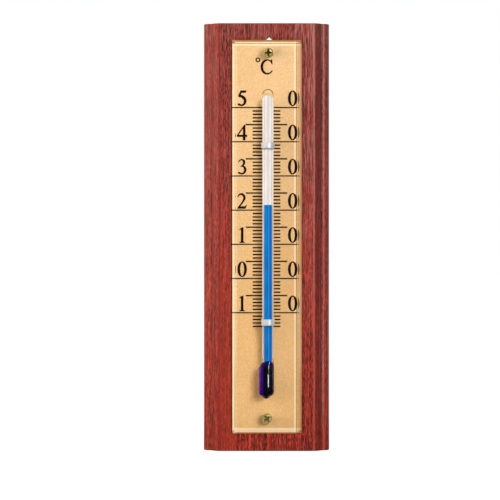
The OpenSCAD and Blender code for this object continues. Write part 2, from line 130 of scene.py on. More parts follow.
class Value:
    """One output of a node, on which Python's arithmetic adds Math nodes."""

    def __init__(self, tree, socket):
        self.tree = tree
        self.socket = socket

    def _sum(self, operation, *values, **settings):
        return self.tree.node("ShaderNodeMath", {"operation": operation, **settings},
                              dict(enumerate(values)))

    def __add__(self, other):
        return self._sum("ADD", self, other)

    __radd__ = __add__

    def __sub__(self, other):
        return self._sum("SUBTRACT", self, other)

    def __rsub__(self, other):
        return self._sum("SUBTRACT", other, self)

    def __mul__(self, other):
        return self._sum("MULTIPLY", self, other)

    __rmul__ = __mul__

    def __truediv__(self, other):
        return self._sum("DIVIDE", self, other)

    def __lt__(self, other):
        return self._sum("LESS_THAN", self, other)

    def __mod__(self, other):
        return self._sum("FLOORED_MODULO", self, other)

    def clamped(self):
        return self._sum("ADD", self, 0, use_clamp=True)

    def step(self, low, high):
        """0 below low, 1 above high and a smooth rise between."""
        return self.tree.node("ShaderNodeMapRange", {"interpolation_type": "SMOOTHSTEP"},
                              {"Value": self, "From Min": low, "From Max": high})

    def band(self, middle, half):
        """1 at middle, falling smoothly to 0 at half to either side."""
        return self.step(middle - half, middle) * self.step(middle + half, middle)


class Tree:
    """A shader or geometry node tree, written one call per node."""

    def __init__(self, node_tree):
        self.nodes = node_tree.nodes
        self.links = node_tree.links

    def _find(self, sockets, key):
        if isinstance(key, int):
            return sockets[key]
        live = [s for s in sockets if s.enabled]
        for s in live + list(sockets):
            if key in (s.name, s.identifier):
                return s
        raise KeyError(key)

    def node(self, kind, settings=None, inputs=None, out=0):
        """Adds a node, makes its settings, then fills or links its sockets, and gives one output."""
        made = self.nodes.new(kind)
        for name, value in (settings or {}).items():
            setattr(made, name, value)
        for key, value in (inputs or {}).items():
            socket = self._find(made.inputs, key)
            if isinstance(value, Value):
                self.links.new(value.socket, socket)
            else:
                socket.default_value = value
        return Value(self, self._find(made.outputs, out)) if len(made.outputs) else made


class Finish(Tree):
    """A procedural material: its colours and roughness come from Object coordinates."""

    def __init__(self, name):
        self.material = bpy.data.materials.new(name)
        self.material.use_nodes = True
        super().__init__(self.material.node_tree)
        self.nodes.clear()
        self.place = self.node("ShaderNodeTexCoord", out="Object")

    def axis(self, letter):
        return self.node("ShaderNodeSeparateXYZ", inputs={"Vector": self.place}, out=letter)

    def noise(self, size, detail=2, rough=0.5, seed=0):
        """Noise whose features are about size millimetres, as one number or three."""
        sizes = size if isinstance(size, tuple) else (size, size, size)
        where = self.node("ShaderNodeMapping", inputs={
            "Vector": self.place,
            "Location": (seed * 3.7, seed * 7.3, seed * 1.9),
            "Scale": tuple(1 / (s * MM) for s in sizes)})
        return self.node("ShaderNodeTexNoise", inputs={
            "Vector": where, "Scale": 1, "Detail": detail, "Roughness": rough})

    def mix(self, first, second, share):
        """A colour share of the way from first to second."""
        def colour(c):
            return (*c, 1) if isinstance(c, tuple) else c
        return self.node("ShaderNodeMix", {"data_type": "RGBA"}, {
            "Factor_Float": share, "A_Color": colour(first), "B_Color": colour(second)},
            out="Result_Color")

    def bump(self, height, depth, strength):
        return self.node("ShaderNodeBump", inputs={
            "Height": height, "Distance": depth, "Strength": strength})

    def shader(self, **sockets):
        names = {key: key.replace("_", " ").title().replace("Ior", "IOR") for key in sockets}
        colours = {key: (*value, 1) if isinstance(value, tuple) and len(value) == 3 else value
                   for key, value in sockets.items()}
        return self.node("ShaderNodeBsdfPrincipled",
                         inputs={names[key]: value for key, value in colours.items()})

    def done(self, surface):
        self.node("ShaderNodeOutputMaterial", inputs={"Surface": surface})
        return self.material


def stained_wood():
    """Red-brown stain over fine upright grain, redder at the foot, with painted light, glare, highlights
    and shade on the front and a painted shadow beside the plate.
    """
    wood = Finish("stained_wood")
    x, z = wood.axis("X"), wood.axis("Z")
    cloud = wood.noise((9, 9, 50), detail=2, seed=1)
    broad = wood.noise((1.5, 1.5, 70), detail=2, seed=2)
    fine = wood.noise((0.27, 0.27, 10), detail=1, seed=3)
    hair = wood.noise((0.21, 0.21, 1.1), detail=0, seed=4)
    pores = wood.noise((0.2, 0.2, 2.6), detail=1, seed=5).step(0.58, 0.66)
    painted_glare = wood.noise((0.3, 0.3, 7), detail=3, rough=0.6, seed=6).step(0.47, 0.62)
    upper = z.step(-45 * MM, 40 * MM)
    streak = broad.step(0.35, 0.65) * 0.1 + fine.step(0.45, 0.6) * 0.38 + hair.step(0.46, 0.6) * 0.52
    dark = wood.mix((0.050, 0.0020, 0.0007), (0.033, 0.0022, 0.0020), upper)
    light = wood.mix((0.370, 0.0350, 0.0195), (0.260, 0.0350, 0.0275), upper)
    base = wood.mix(dark, light, streak)
    base = wood.mix(base, (0.150, 0.0115, 0.007), cloud.step(0.35, 0.7) * 0.2)

    # Fields of the front, from left to right: a redder patch low on the left flat, painted light on the
    # left slope and painted glare streaks over the upper part.
    along = x / MM
    left_foot = along.step(-8, -11) * along.step(-ARRIS_X - 0.6, -ARRIS_X) * (1 - upper)
    base = wood.mix(base, (0.270, 0.024, 0.012), left_foot * 0.4)
    # Painted light: the left slope is paler, more so higher up.
    lit_left_slope = along.step(-ARRIS_X + 0.2, -ARRIS_X - 0.8)
    base = wood.mix(base, (0.200, 0.050, 0.043), lit_left_slope * (0.15 + 0.15 * upper))
    # Painted glare: pale streaks over the upper part, most on the right flat and at the top end.
    right_flat = along.step(7, 11) * along.step(ARRIS_X + 0.2, ARRIS_X - 0.2)
    top_end = z.step(BOARD_HIGH.z - 6.5 * MM, BOARD_HIGH.z - 2.5 * MM)
    glare_reach = upper * (0.22 + 0.6 * right_flat + 0.4 * top_end)
    base = wood.mix(base, (0.225, 0.090, 0.088), painted_glare * glare_reach.clamped())

    # Edges: a dark band along the left edge, painted shade in the roll and painted highlights on the
    # right edge and the bead.
    base = wood.mix(base, (0.125, 0.004, 0.003), along.band(-ARRIS_X, 0.5) * 0.7)
    # Painted shade in the roll.
    shaded_roll = along.step(ARRIS_X + 0.3, ARRIS_X + 0.8) * along.step(BEAD_X - 0.65, BEAD_X - 1.05)
    base = wood.mix(base, (0.070, 0.003, 0.0015), shaded_roll * 0.5)
    # Painted highlights on the right edge and the bead's crest.
    wear_and_sheen = wood.mix((0.36, 0.072, 0.056), (0.34, 0.150, 0.135), upper)
    edges = along.band(ARRIS_X + 0.1, 0.4) + along.band(BEAD_X, 0.5) * (0.35 + 0.5 * hair)
    base = wood.mix(base, wear_and_sheen, edges.clamped() * 0.85)

    # Painted shadow on the wood along the plate's left side.
    plate_shadow = x.step(PLATE_LOW.x - 0.6 * MM, PLATE_LOW.x - 0.1 * MM)
    plate_shadow = plate_shadow * x.step(PLATE_LOW.x + 0.5 * MM, PLATE_LOW.x)
    height = z.step(PLATE_LOW.z - 0.3 * MM, PLATE_LOW.z)
    height = height * z.step(PLATE_HIGH.z, PLATE_HIGH.z - 0.6 * MM)
    base = wood.mix(base, (0.035, 0.003, 0.001), plate_shadow * height * 0.85)
    colour = wood.mix(base, (0.045, 0.003, 0.002), pores * 0.5)
    relief = fine * 0.5 + hair * 0.3 - pores * 0.9
    return wood.done(wood.shader(
        base_color=colour,
        roughness=0.38 + 0.14 * fine + 0.14 * pores,
        specular_ior_level=0.2,
        coat_weight=0.3,
        coat_roughness=0.13,
        normal=wood.bump(relief, 0.03 * MM, 0.5)))


def gold_foil():
    """Satin gold foil, with the bright and dark lines that the bevel's bent light throws on it."""
    gold = Finish("gold_foil")
    x, z = gold.axis("X"), gold.axis("Z")
    cloud = gold.noise((16, 16, 30), detail=2, seed=1)
    speck = gold.noise(0.32, detail=3, rough=0.65, seed=2)
    rolled = gold.noise((0.4, 0.4, 9), detail=3, seed=3)
    # Paler towards the top: painted light from above.
    upper = z.step(PLATE_LOW.z, PLATE_HIGH.z)
    colour = gold.mix((0.785, 0.455, 0.158), (0.745, 0.475, 0.228), upper)
    colour = gold.mix(colour, (1.0, 0.73, 0.43), (speck * 0.8 + cloud * 0.2).step(0.38, 0.62) * 0.55)
    from_left = (x - PLATE_LOW.x) / MM
    from_right = (x * -1 + PLATE_HIGH.x) / MM
    from_top = (z * -1 + PLATE_HIGH.z) / MM
    from_bottom = (z - PLATE_LOW.z) / MM

    # Places in millimetres in from the clear plate's edges.
    bright = from_right.band(1.95, 0.4) + from_top.band(1.35, 0.5)
    bright = bright + from_bottom.band(1.2, 0.6) + from_left.band(0.7, 0.8)
    dim = from_right.band(1.42, 0.2) + from_right.step(1.25, 0.9) * 0.7
    dim = dim + from_top.step(1.15, 0.9) * 1.4 + from_bottom.step(0.85, 0.6) * 0.7
    colour = gold.mix(colour, (1.0, 0.83, 0.60), bright.clamped() * 0.8)
    colour = gold.mix(colour, (0.34, 0.135, 0.018), dim.clamped() * 0.85)
    return gold.done(gold.shader(
        base_color=colour,
        metallic=0.08,
        roughness=0.58 + 0.12 * speck + 0.05 * cloud,
        specular_ior_level=0.2,
        normal=gold.bump(speck * 0.7 + rolled * 0.3, 0.006 * MM, 0.5)))


def scale_ink():
    ink = Finish("scale_ink")
    wear_and_sheen = ink.noise(0.35, detail=3, rough=0.6, seed=1)
    colour = ink.mix((0.012, 0.0030, 0.0001), (0.048, 0.015, 0.0004), wear_and_sheen.step(0.45, 0.8))
    return ink.done(ink.shader(
        base_color=colour,
        roughness=0.5 + 0.15 * wear_and_sheen,
        specular_ior_level=0.05,
        normal=ink.bump(wear_and_sheen, 0.004 * MM, 0.4)))


def clear(name, tint, ior, coat_below=None, rim_above=None):
    """Clear glass or sheet that lets the lamps' light straight through to what is behind it.

    Below coat_below it shows a lamp as a line; above rim_above its outline is dark."""
    glass = Finish(name)
    cloud = glass.noise((4, 4, 9), detail=2, seed=1)
    colour = glass.mix(tint, (0.97, 0.985, 0.98), cloud.step(0.4, 0.7) * 0.5)
    if rim_above is not None:
        # Painted shade: a dark outline where the glass bends the view, above rim_above.
        rim = glass.node("ShaderNodeLayerWeight", out="Facing").step(0.25, 0.65)
        rim = rim * glass.axis("Z").step(rim_above, rim_above + 0.7 * MM)
        colour = glass.mix(colour, (0.13, 0.07, 0.035), rim)
    coat = 0.0
    if coat_below is not None:
        coat = (glass.axis("X") - BULB_X).band(0.55 * MM, 0.9 * MM)
        coat = (coat * glass.axis("Z").step(coat_below, coat_below - 1 * MM) * 2).clamped()
    body = glass.shader(base_color=colour, roughness=0.0, ior=ior, transmission_weight=1.0,
                        coat_weight=coat, coat_roughness=0.06)
    open_way = glass.node("ShaderNodeBsdfTransparent", inputs={"Color": (0.96, 0.96, 0.96, 1)})
    lamp_ray = glass.node("ShaderNodeLightPath", out="Is Shadow Ray")
    return glass.done(glass.node("ShaderNodeMixShader", inputs={0: lamp_ray, 1: body, 2: open_way}))


def white_enamel():
    enamel = Finish("white_enamel")
    milky = enamel.noise((0.8, 0.8, 6), detail=3, seed=1)
    colour = enamel.mix((0.76, 0.74, 0.73), (0.85, 0.83, 0.82), milky.step(0.35, 0.65))
    # Painted reflection: a lilac line down the middle, where the empty bore bends the view.
    middle = ((enamel.axis("X") - STEM_X) / MM).band(0, 0.35)
    colour = enamel.mix(colour, (0.60, 0.54, 0.68), middle * 0.6)
    return enamel.done(enamel.shader(base_color=colour, roughness=0.3 + 0.1 * milky))


def thread_spirit():
    spirit = Finish("thread_spirit")
    depth = spirit.noise((0.9, 0.9, 5), detail=2, seed=1)
    colour = spirit.mix((0.001, 0.20, 0.64), (0.002, 0.255, 0.78), depth.step(0.35, 0.65))
    across = (spirit.axis("X") - STEM_X) / MM
    # Painted highlight: a paler line where the glass mirrors the lamp on the right.
    colour = spirit.mix(colour, (0.08, 0.37, 0.90), across.band(0.17, 0.13) * 0.7)
    # Painted shade on the thread's right side.
    colour = spirit.mix(colour, (0.012, 0.12, 0.50), across.step(0.28, 0.38) * 0.75)
    return spirit.done(spirit.shader(base_color=colour, roughness=0.18 + 0.05 * depth,
                                     specular_ior_level=0.1))


def bulb_spirit():
    """Dark spirit: violet along the side that the light comes through, deep blue in the neck."""
    spirit = Finish("bulb_spirit")
    across = spirit.axis("X")
    up = spirit.axis("Z")
    swirl = spirit.noise((1.2, 1.2, 3), detail=2, seed=1)
    left = (across * -1).step(-BULB_X + 0.55 * MM, -BULB_X + 1.7 * MM)
    right = across.step(BULB_X + 1.1 * MM, BULB_X + 1.9 * MM)
    neck = up.step(BULB_TOP_Z + 0.2 * MM, BULB_TOP_Z + 1.8 * MM)
    colour = spirit.mix((0.0016, 0.0003, 0.008), (0.085, 0.0, 0.38), left * (0.75 + 0.5 * swirl))
    colour = spirit.mix(colour, (0.021, 0.003, 0.045), right)
    colour = spirit.mix(colour, (0.006, 0.004, 0.20), neck * 0.8)
    return spirit.done(spirit.shader(base_color=colour, roughness=0.12 + 0.06 * swirl,
                                     specular_ior_level=0.0))


def clip_strip():
    strip = Finish("clip_strip")
    lines = strip.noise((6, 6, 0.05), detail=3, rough=0.6, seed=1)
    wear_and_sheen = strip.noise(0.5, detail=3, seed=2)
    colour = strip.mix((0.53, 0.60, 0.67), (0.72, 0.81, 0.91), (lines * 0.6 + wear_and_sheen * 0.4).step(0.3, 0.7))
    return strip.done(strip.shader(
        base_color=colour, metallic=0.6,
        roughness=0.24 + 0.14 * lines + 0.05 * wear_and_sheen,
        normal=strip.bump(lines, 0.003 * MM, 0.35)))


def screw_brass():
    brass = Finish("screw_brass")
    x, z = brass.axis("X"), brass.axis("Z")
    wear_and_sheen = brass.noise(0.3, detail=3, rough=0.6, seed=1)
    scratch = brass.noise((0.9, 0.9, 0.06), detail=2, seed=2)
    cross = 0

    # Each head's cross is painted dark, as shade in its recess and a little wider than it, in squares of
    # millimetres from its arms' middle lines and from its middle.
    for node, (turn, recess_shade) in SCREWS.items():
        middle = box_middle(node)
        across = (x - middle.x) / MM
        along = (z - middle.z) / MM
        c, s = math.cos(math.radians(turn)), math.sin(math.radians(turn))
        one, other = across * c + along * s, along * c - across * s
        arms = ((one * one).step(0.13, 0.05) + (other * other).step(0.13, 0.05)).clamped()
        cross = arms * (across * across + along * along).step(1.15, 0.95) * recess_shade + cross
    relief = wear_and_sheen * 0.6 + scratch * 0.4
    colour = brass.mix((0.24, 0.18, 0.025), (0.82, 0.72, 0.32), relief.step(0.42, 0.58))
    # Painted shade in the crosses.
    colour = brass.mix(colour, (0.020, 0.009, 0.001), cross * 0.9)
    return brass.done(brass.shader(
        base_color=colour, metallic=0.65,
        roughness=0.12 + 0.12 * wear_and_sheen + 0.4 * cross,
        normal=brass.bump(relief, 0.008 * MM, 0.4)))


def box_middle(node):
    low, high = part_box(node)
    return (low + high) / 2


def bare(name, mesh):
    made = bpy.data.objects.new(name, mesh)
    bpy.context.scene.collection.objects.link(made)
    return made


def settled(made, name):
    """The object with its modifiers applied, as a new plain mesh at the origin."""
    bpy.context.view_layer.update()
    seen = made.evaluated_get(bpy.context.evaluated_depsgraph_get())
    mesh = bpy.data.meshes.new_from_object(seen)
    mesh.name = name
    old = made.data
    bpy.data.objects.remove(made)
    if old.users == 0:
        bpy.data.meshes.remove(old)
    return bare(name, mesh)


def finished_copy(node, name, bevel=0.0, angle=30):
    """A copy of a CAD node with its triangles joined, its edges softened and its curves smooth."""
    mesh = NODES[node].data.copy()
    form = bmesh.new()
    form.from_mesh(mesh)
    bmesh.ops.remove_doubles(form, verts=form.verts, dist=0.0005 * MM)
    bmesh.ops.dissolve_limit(form, angle_limit=math.radians(0.05), verts=form.verts, edges=form.edges)
    for face in form.faces:
        face.smooth = True
    for edge in form.edges:
        edge.smooth = edge.calc_face_angle(0) < math.radians(angle)
    form.to_mesh(mesh)
    form.free()
    made = bare(name + "_rough", mesh)
    if bevel:
        soft = made.modifiers.new("softened", "BEVEL")
        soft.width = bevel
        soft.segments = 2
        soft.limit_method = "ANGLE"
        soft.angle_limit = math.radians(40)
    weigh = made.modifiers.new("flat faces stay flat", "WEIGHTED_NORMAL")
    weigh.keep_sharp = True
    return settled(made, name)


def place_piece(made, body, nodes, material):
    made.data.materials.clear()
    made.data.materials.append(material)
    for face in made.data.polygons:
        face.material_index = 0
    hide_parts(*nodes)
    if body:
        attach(made, body)
    return made


def rounded(points, radii, step=12):
    """An outline through points, with each inner corner turned on an arc of its radius."""
    outline = [Vector(points[0])]
    for before, corner, after, radius in zip(points, points[1:], points[2:], radii):
        corner = Vector(corner)
        back = (Vector(before) - corner).normalized()
        on = (Vector(after) - corner).normalized()
        half = back.angle(on) / 2
        middle = corner + (back + on).normalized() * (radius / math.sin(half))
        first = corner + back * (radius / math.tan(half))
        sweep = (first - middle).angle_signed((corner + on * (radius / math.tan(half))) - middle)
        count = max(2, round(abs(math.degrees(sweep)) / step))
        for i in range(count + 1):
            turn = Matrix.Rotation(-sweep * i / count, 2)
            outline.append(middle + turn @ (first - middle))
    outline.append(Vector(points[-1]))
    return outline


def loft(form, rings, sides=TUBE_SIDES):
    """A closed skin over level circles, each (middle x, radius, height), at the tube's depth."""
    loops = []
    for middle, radius, height in rings:
        if radius < 1e-7:
            loops.append([form.verts.new((middle, TUBE_Y, height))])
            continue
        turns = [2 * math.pi * i / sides for i in range(sides)]
        places = [(middle + radius * math.cos(a), TUBE_Y + radius * math.sin(a)) for a in turns]
        loops.append([form.verts.new((x, y, height)) for x, y in places])
    for low, high in zip(loops, loops[1:]):
        for i in range(sides):
            j = (i + 1) % sides
            corners = [low[i % len(low)], low[j % len(low)], high[j % len(high)], high[i % len(high)]]
            form.faces.new(list(dict.fromkeys(corners)))


def tube_rings():
    """The tube's circles from its tip up: the pointed foot, the bulb, its shoulder and the stem."""
    apex = TUBE_LOW.z - TIP_R * (1 / math.cos(TIP_SLOPE) - 1)
    corner = apex + BULB_R * math.tan(TIP_SLOPE)
    foot = rounded([(-BULB_R, corner), (0, apex), (BULB_R, corner), (BULB_R, BULB_TOP_Z)],
                   [TIP_R, LOWER_ROUND], step=8)
    rings = [(BULB_X, 0, TUBE_LOW.z)]
    rings += [(BULB_X, r, z) for r, z in foot[1:-1] if r > 0.01 * MM]
    left = STEM_X - STEM_R
    right = STEM_X + STEM_R
    side = rounded([(BULB_X - BULB_R, corner + 2 * MM), (BULB_X - BULB_R, BULB_TOP_Z),
                    (left, SHOULDER_Z), (left, SHOULDER_Z + 4 * MM)], [UPPER_ROUND, NECK_ROUND], step=6)
    for x, z in side:
        share = (x - (BULB_X - BULB_R)) / (left - (BULB_X - BULB_R))
        other = BULB_X + BULB_R + share * (right - BULB_X - BULB_R)
        rings.append(((x + other) / 2, (other - x) / 2, z))
    return rings


def glass_tube():
    form = bmesh.new()
    rings = tube_rings()
    dome_z = TUBE_HIGH.z - STEM_R
    rings.append((STEM_X, STEM_R, dome_z))
    for i in range(1, DOME_STEPS + 1):
        a = math.pi / 2 * i / DOME_STEPS
        radius = STEM_R * math.cos(a) if i < DOME_STEPS else 0
        rings.append((STEM_X, radius, dome_z + STEM_R * math.sin(a)))
    loft(form, rings)
    bore_skin(form, POOL_HIGH.z - 0.2 * MM, BORE_TOP, 0, inward=True)
    mesh = bpy.data.meshes.new("glass_tube_skin")
    form.to_mesh(mesh)
    form.free()
    for face in mesh.polygons:
        face.use_smooth = True
    mark_sharp(mesh, 40)
    return bare("tube_of_glass", mesh)


def mark_sharp(mesh, angle):
    form = bmesh.new()
    form.from_mesh(mesh)
    for edge in form.edges:
        edge.smooth = edge.calc_face_angle(0) < math.radians(angle)
    form.to_mesh(mesh)
    form.free()


def bore_outline(grow, steps=8):
    """The flat bore's cross section, a slot with round ends, grown by a little."""
    r = BORE_T / 2 + grow
    half = (BORE_W - BORE_T) / 2
    ends = []
    for side in (1, -1):
        for i in range(steps + 1):
            a = -math.pi / 2 + math.pi * i / steps
            ends.append((STEM_X + side * (half + r * math.cos(a)), TUBE_Y + side * r * math.sin(a)))
    return ends


def bore_skin(form, low, high, grow, inward=False, rows=1, dip=0.0):
    """A column filling the bore from low to high, its top dished by dip."""
    outline = bore_outline(grow)
    half = BORE_W / 2 + grow
    levels = [low + (high - low) * i / rows for i in range(rows + 1)]
    loops = []
    for i, z in enumerate(levels):
        last = i == rows
        loops.append([form.verts.new((x, y, z - (dip * (1 - ((x - STEM_X) / half) ** 2) if last else 0)))
                      for x, y in outline])
    count = len(outline)
    for lower, upper in zip(loops, loops[1:]):
        for i in range(count):
            j = (i + 1) % count
            corners = [lower[i], lower[j], upper[j], upper[i]]
            form.faces.new(corners[::-1] if inward else corners)
    for loop, turned in ((loops[0], not inward), (loops[-1], inward)):
        form.faces.new(loop[::-1] if turned else loop)


def enamel_band():
    """The white band behind the bore, with a rounded top."""
    half = (ENAMEL_HIGH.x - ENAMEL_LOW.x) / 2 * BAND_SHARE
    front, back = ENAMEL_LOW.y, ENAMEL_HIGH.y
    outline = [(STEM_X - half, ENAMEL_LOW.z), (STEM_X + half, ENAMEL_LOW.z)]
    outline += [(STEM_X + half * side, ENAMEL_HIGH.z - BAND_ROUND * half * side ** 2)
                for side in (1 - i / 12 for i in range(25))]
    form = bmesh.new()
    faces = [[form.verts.new((x, y, z)) for x, z in outline] for y in (front, back)]
    form.faces.new(faces[0])
    form.faces.new(faces[1][::-1])
    for i, j in zip(range(len(outline)), [*range(1, len(outline)), 0]):
        form.faces.new([faces[0][j], faces[0][i], faces[1][i], faces[1][j]])
    mesh = bpy.data.meshes.new("enamel_band")
    form.to_mesh(mesh)
    form.free()
    return bare("enamel_band", mesh)


def spirit_column():
    """The blue thread, from inside the bulb up to its dished top, in rows along its length."""
    form = bmesh.new()
    bore_skin(form, POOL_HIGH.z - THREAD_ROOT, LEVEL_Z, WETTING, rows=THREAD_ROWS, dip=LEVEL_DIP)
    mesh = bpy.data.meshes.new("spirit_column")
    form.to_mesh(mesh)
    form.free()
    for face in mesh.polygons:
        face.use_smooth = True
    mark_sharp(mesh, 40)
    return bare("spirit_column", mesh)


def spirit_pool():
    """The spirit that fills the bulb up into the neck, set in from the glass all round."""
    form = bmesh.new()
    inset = BULB_WALL - WETTING
    straight = BULB_TOP_Z - 5 * MM
    narrowing = BULB_TOP_Z - 0.2 * MM
    top = POOL_HIGH.z + NECK_FILL
    rings = []
    for middle, radius, height in tube_rings():
        if height > top:
            break
        if height < straight:
            lift = inset * (0.45 if radius < BULB_R / 2 else 0.6)
            rings.append((middle, radius * (1 - inset / BULB_R), height + lift))
        else:
            share = max(0, (height - narrowing) / (top - narrowing))
            rings.append((middle + (STEM_X - middle) * share,
                          (radius - inset) * (1 - share) + NECK_W / 2 * share, height - inset / 2))
    rings = [r for i, r in enumerate(rings) if i == 0 or r[2] > rings[i - 1][2] + 1e-7]
    middle, radius, height = rings[-1]
    for share in (0.85, 0.6, 0.3, 0):
        rings.append((middle + (STEM_X - middle) * (1 - share), radius * share,
                      height + 0.35 * MM * (1 - share)))
    loft(form, rings)
    mesh = bpy.data.meshes.new("spirit_pool")
    form.to_mesh(mesh)
    form.free()
    for face in mesh.polygons:
        face.use_smooth = True
    return bare("spirit_pool", mesh)


def modifier_tree(name, inputs):
    """A geometry tree with named inputs, each name: (socket type, default)."""
    tree = bpy.data.node_groups.new(name, "GeometryNodeTree")
    tree.interface.new_socket("Geometry", in_out="INPUT", socket_type="NodeSocketGeometry")
    for key, (kind, value) in inputs.items():
        socket = tree.interface.new_socket(key, in_out="INPUT", socket_type=kind)
        if value is not None:
            socket.default_value = value
    tree.interface.new_socket("Geometry", in_out="OUTPUT", socket_type="NodeSocketGeometry")
    return tree


def grown(name, tree, values):
    """Runs a geometry tree with these values and gives its result as a plain mesh."""
    seed_mesh = bpy.data.meshes.new(name + "_seed")
    made = bare(name + "_rough", seed_mesh)
    grow = made.modifiers.new(name, "NODES")
    grow.node_group = tree
    for item in tree.interface.items_tree:
        if item.in_out == "INPUT" and item.name in values:
            grow[item.identifier] = values[item.name]
    return settled(made, name)


def ruled_lines_tree():
    """Ruled lines up one side of the tube: one per degree, longer at fives and at whole tens."""
    group = modifier_tree("ruled lines", {
        "Degrees": ("NodeSocketInt", DEGREES),
        "Lowest degree": ("NodeSocketInt", LOWEST_DEGREE),
        "Lowest height": ("NodeSocketFloat", 0.0),
        "Spacing": ("NodeSocketFloat", MM),
        "Inner end": ("NodeSocketFloat", 0.0),
        "Short reach": ("NodeSocketFloat", SHORT_REACH),
        "Middle reach": ("NodeSocketFloat", MIDDLE_REACH),
        "Long reach": ("NodeSocketFloat", 0.0),
        "Line width": ("NodeSocketFloat", LINE_W),
        "Long line width": ("NodeSocketFloat", LONG_LINE_W),
        "Ink depth": ("NodeSocketFloat", INK_HIGH.y - INK_LOW.y),
        "Face depth": ("NodeSocketFloat", FIELD_Y),
        "Ink": ("NodeSocketMaterial", None)})
    g = Tree(group)
    given = g.nodes.new("NodeGroupInput")

    def asked(name):
        return Value(g, given.outputs[name])

    places = g.node("GeometryNodeMeshLine", {"mode": "OFFSET", "count_mode": "TOTAL"}, {
        "Count": asked("Degrees") + 1,
        "Offset": g.node("ShaderNodeCombineXYZ", inputs={"Z": asked("Spacing")})})
    degree = g.node("GeometryNodeInputIndex") + asked("Lowest degree")
    is_ten = (degree % 10) < 0.5
    is_five = (degree % 5) < 0.5
    reach = asked("Short reach") + is_five * (asked("Middle reach") - asked("Short reach"))
    reach = reach + is_ten * (asked("Long reach") - reach)
    width = asked("Line width") + is_ten * (asked("Long line width") - asked("Line width"))
    height = asked("Lowest height") + g.node("GeometryNodeInputIndex") * asked("Spacing")
    middle = g.node("ShaderNodeCombineXYZ", inputs={
        "X": (reach + asked("Inner end")) * 0.5,
        "Y": asked("Face depth") - asked("Ink depth") * 0.5,
        "Z": height})
    size = g.node("ShaderNodeCombineXYZ", inputs={
        "X": g.node("ShaderNodeMath", {"operation": "ABSOLUTE"}, {0: reach - asked("Inner end")}),
        "Y": asked("Ink depth"),
        "Z": width})
    placed = g.node("GeometryNodeSetPosition", inputs={"Geometry": places, "Position": middle})
    stroke = g.node("GeometryNodeMeshCube", inputs={"Size": (1, 1, 1)})
    lines = g.node("GeometryNodeInstanceOnPoints", inputs={
        "Points": placed, "Instance": stroke, "Scale": size})
    real = g.node("GeometryNodeRealizeInstances", inputs={"Geometry": lines})
    inked = g.node("GeometryNodeSetMaterial", inputs={"Geometry": real, "Material": asked("Ink")})
    g.node("NodeGroupOutput", inputs={"Geometry": inked})
    return group


def ruled_lines(tree, side, ink):
    """The lines on one side of the tube, side being -1 for left and 1 for right."""
    inner = STEM_X + (STEM_R - UNDER_RIGHT if side > 0 else UNDER_LEFT - STEM_R)
    far = INK_HIGH.x if side > 0 else INK_LOW.x
    name = "ruled_lines_right" if side > 0 else "ruled_lines_left"
    return grown(name, tree, {
        "Lowest height": INK_LOW.z + LINE_W / 2,
        "Spacing": SCALE_RISE / DEGREES,
        "Inner end": inner,
        "Short reach": side * SHORT_REACH,
        "Middle reach": side * MIDDLE_REACH,
        "Long reach": far,
        "Ink": ink})


def printed_figures():
    """The figures and the degree sign, a little bolder: what is taller than a line in the scale."""
    mesh = NODES["scale_markings"].data.copy()
    form = bmesh.new()
    form.from_mesh(mesh)
    bmesh.ops.remove_doubles(form, verts=form.verts, dist=0.0005 * MM)
    left = set(form.verts)
    lines = []
    while left:
        island = {left.pop()}
        edge_of = list(island)
        while edge_of:
            for edge in edge_of.pop().link_edges:
                for vert in edge.verts:
                    if vert in left:
                        left.discard(vert)
                        island.add(vert)
                        edge_of.append(vert)
        heights = [v.co.z for v in island]
        if max(heights) - min(heights) < LINE_LIMIT:
            lines.extend(island)
    bmesh.ops.delete(form, geom=lines, context="VERTS")
    form.normal_update()
    moves = []
    for vert in form.verts:
        out = Vector((0, 0, 0))
        for face in vert.link_faces:
            if abs(face.normal.y) < 0.5:
                out += face.normal
        moves.append(out.normalized() * INK_SPREAD)
    for vert, move in zip(form.verts, moves):
        vert.co += move
    form.to_mesh(mesh)
    form.free()
    for face in mesh.polygons:
        face.use_smooth = False
    return bare("printed_figures", mesh)


def screw_head():
    """One screw at the origin with its cross unturned, joined and softened, as a mesh."""
    middle = box_middle("plate_screw_top")
    turn, _ = SCREWS["plate_screw_top"]
    made = finished_copy("plate_screw_top", "screw_form", bevel=0.05 * MM, angle=35)
    made.data.transform(Matrix.Translation((-middle.x, 0, -middle.z)))
    made.data.transform(Matrix.Rotation(math.radians(turn), 4, "Y"))
    return made


def screws_tree():
    """A screw at each end of the plate, each with its own turn."""
    group = modifier_tree("screws", {
        "Screw": ("NodeSocketObject", None),
        "First place": ("NodeSocketVector", (0, 0, 0)),
        "Last place": ("NodeSocketVector", (0, 0, 0)),
        "First turn": ("NodeSocketFloat", 0.0),
        "Last turn": ("NodeSocketFloat", 0.0),
        "Brass": ("NodeSocketMaterial", None)})
    g = Tree(group)
    given = g.nodes.new("NodeGroupInput")

    def asked(name):
        return Value(g, given.outputs[name])

    places = g.node("GeometryNodeMeshLine", {"mode": "END_POINTS", "count_mode": "TOTAL"}, {
        "Count": 2, "Start Location": asked("First place"), "Offset": asked("Last place")})
    which = g.node("GeometryNodeInputIndex")
    turn = asked("First turn") + which * (asked("Last turn") - asked("First turn"))
    form = g.node("GeometryNodeObjectInfo", inputs={"Object": asked("Screw")}, out="Geometry")
    heads = g.node("GeometryNodeInstanceOnPoints", inputs={
        "Points": places, "Instance": form,
        "Rotation": g.node("ShaderNodeCombineXYZ", inputs={"Y": turn})})
    real = g.node("GeometryNodeRealizeInstances", inputs={"Geometry": heads})
    done = g.node("GeometryNodeSetMaterial", inputs={"Geometry": real, "Material": asked("Brass")})
    g.node("NodeGroupOutput", inputs={"Geometry": done})
    return group


